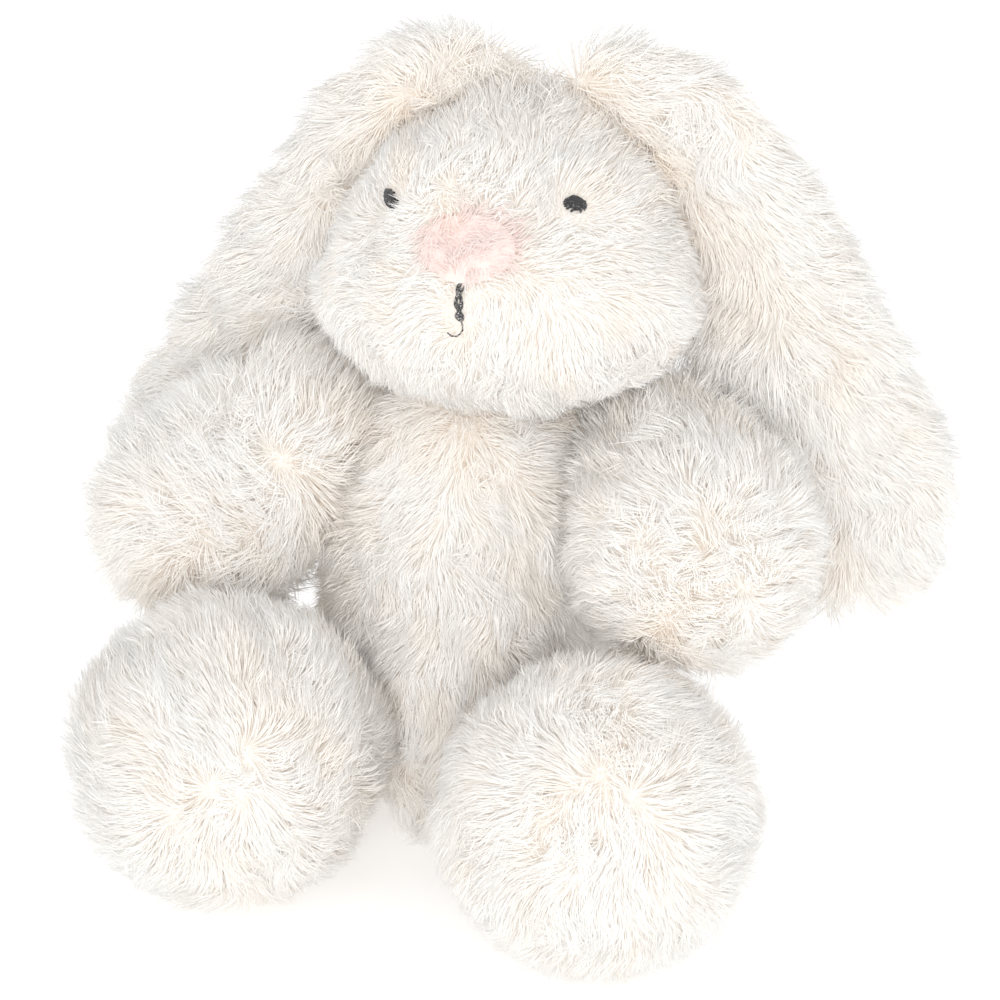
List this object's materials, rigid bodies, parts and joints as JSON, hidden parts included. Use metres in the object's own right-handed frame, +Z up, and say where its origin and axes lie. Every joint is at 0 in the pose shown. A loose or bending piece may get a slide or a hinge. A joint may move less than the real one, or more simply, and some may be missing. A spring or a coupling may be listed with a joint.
{
  "type": "stuffed bunny rabbit",
  "caption": "Seated plush rabbit with long pile, long drooping ears, round head, short arms and big round feet; head, ears, arms and legs flop at their seams.",
  "frame": {"origin": "middle of the flat underside of the seat, on the surface the bunny sits on", "axes": "+Z up; the bunny faces -Y; its left side is +X"},
  "size_m": [0.2707, 0.2, 0.2464],
  "materials": {
    "cream_pile": "long soft off-white polyester pile on a knitted backing",
    "pink_pile": "short pale pink plush",
    "black_yarn": "black stitched yarn",
    "cream_thread": "cream sewing thread",
    "satin_label": "blank white satin ribbon",
    "bag_cloth": "plain woven cotton",
    "fibre_filling": "loose white polyester fibre",
    "plastic_pellets": "small translucent plastic beads"
  },
  "bodies": {
    "torso": {"seat_panel": "cream_pile", "tummy_panel": "cream_pile", "back_left_panel": "cream_pile", "back_right_panel": "cream_pile", "torso_stuffing": "fibre_filling", "pellet_bag": "bag_cloth", "seat_pellets": "plastic_pellets", "tail_cover": "cream_pile", "tail_stuffing": "fibre_filling", "closing_stitches": "cream_thread", "care_label": "satin_label"},
    "head": {"face_panel": "cream_pile", "head_back_panel": "cream_pile", "head_stuffing": "fibre_filling", "nose_patch": "pink_pile", "left_eye": "black_yarn", "right_eye": "black_yarn", "mouth_stitch": "black_yarn"},
    "left_ear": {"left_ear_front_panel": "cream_pile", "left_ear_back_panel": "cream_pile"},
    "right_ear": {"right_ear_front_panel": "cream_pile", "right_ear_back_panel": "cream_pile"},
    "left_arm": {"left_arm_outer_panel": "cream_pile", "left_arm_inner_panel": "cream_pile", "left_arm_stuffing": "fibre_filling"},
    "right_arm": {"right_arm_outer_panel": "cream_pile", "right_arm_inner_panel": "cream_pile", "right_arm_stuffing": "fibre_filling"},
    "left_leg": {"left_leg_upper_panel": "cream_pile", "left_leg_under_panel": "cream_pile", "left_leg_stuffing": "fibre_filling"},
    "right_leg": {"right_leg_upper_panel": "cream_pile", "right_leg_under_panel": "cream_pile", "right_leg_stuffing": "fibre_filling"}
  },
  "joints": [
    {"name": "head_nod", "type": "hinge", "parent": "torso", "child": "head", "pos_m": [0.008, -0.006, 0.1445], "axis": [1, 0, 0], "range_deg": [-6, 12]},
    {"name": "left_ear_lift", "type": "hinge", "parent": "head", "child": "left_ear", "pos_m": [0.027, 0.026, 0.231], "axis": [0, -1, 0], "range_deg": [0, 80]},
    {"name": "right_ear_lift", "type": "hinge", "parent": "head", "child": "right_ear", "pos_m": [-0.001, 0.026, 0.23], "axis": [0, 1, 0], "range_deg": [0, 80]},
    {"name": "left_arm_swing", "type": "hinge", "parent": "torso", "child": "left_arm", "pos_m": [0.058, -0.003, 0.123], "axis": [-1, 0, 0], "range_deg": [-8, 45]},
    {"name": "right_arm_swing", "type": "hinge", "parent": "torso", "child": "right_arm", "pos_m": [-0.057, -0.002, 0.121], "axis": [-1, 0, 0], "range_deg": [-8, 45]},
    {"name": "left_leg_splay", "type": "hinge", "parent": "torso", "child": "left_leg", "pos_m": [0.039, -0.052, 0.036], "axis": [0, 0, 1], "range_deg": [-12, 20]},
    {"name": "right_leg_splay", "type": "hinge", "parent": "torso", "child": "right_leg", "pos_m": [-0.0395, -0.052, 0.036], "axis": [0, 0, -1], "range_deg": [-12, 20]}
  ]
}
